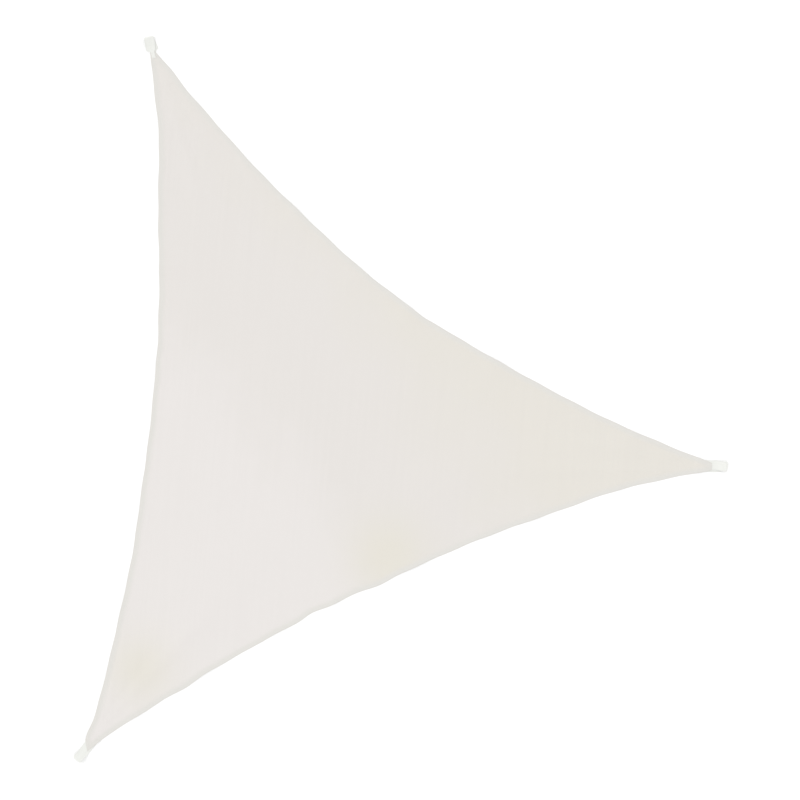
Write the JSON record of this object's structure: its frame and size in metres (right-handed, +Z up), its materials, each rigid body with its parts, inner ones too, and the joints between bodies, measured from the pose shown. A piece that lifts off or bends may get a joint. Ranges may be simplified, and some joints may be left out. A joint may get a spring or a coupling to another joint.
{
  "type": "shade sail",
  "caption": "Triangular shade sail of pale knitted cloth with hollow-cut hemmed sides and a folded webbing loop sewn to each tip.",
  "frame": {"origin": "on the ground, in the middle of the box round the sail", "axes": "+X from the left tip to the right tip, +Y towards the top tip, +Z up out of the cloth's face"},
  "size_m": [3.5836, 3.1664, 0.016],
  "materials": {
    "cloth": "matte cream knitted shade cloth",
    "webbing": "pale woven polyester webbing"
  },
  "bodies": {
    "root": {"sail_cloth": "cloth", "loop_left": "webbing", "loop_right": "webbing", "loop_top": "webbing"}
  },
  "joints": []
}
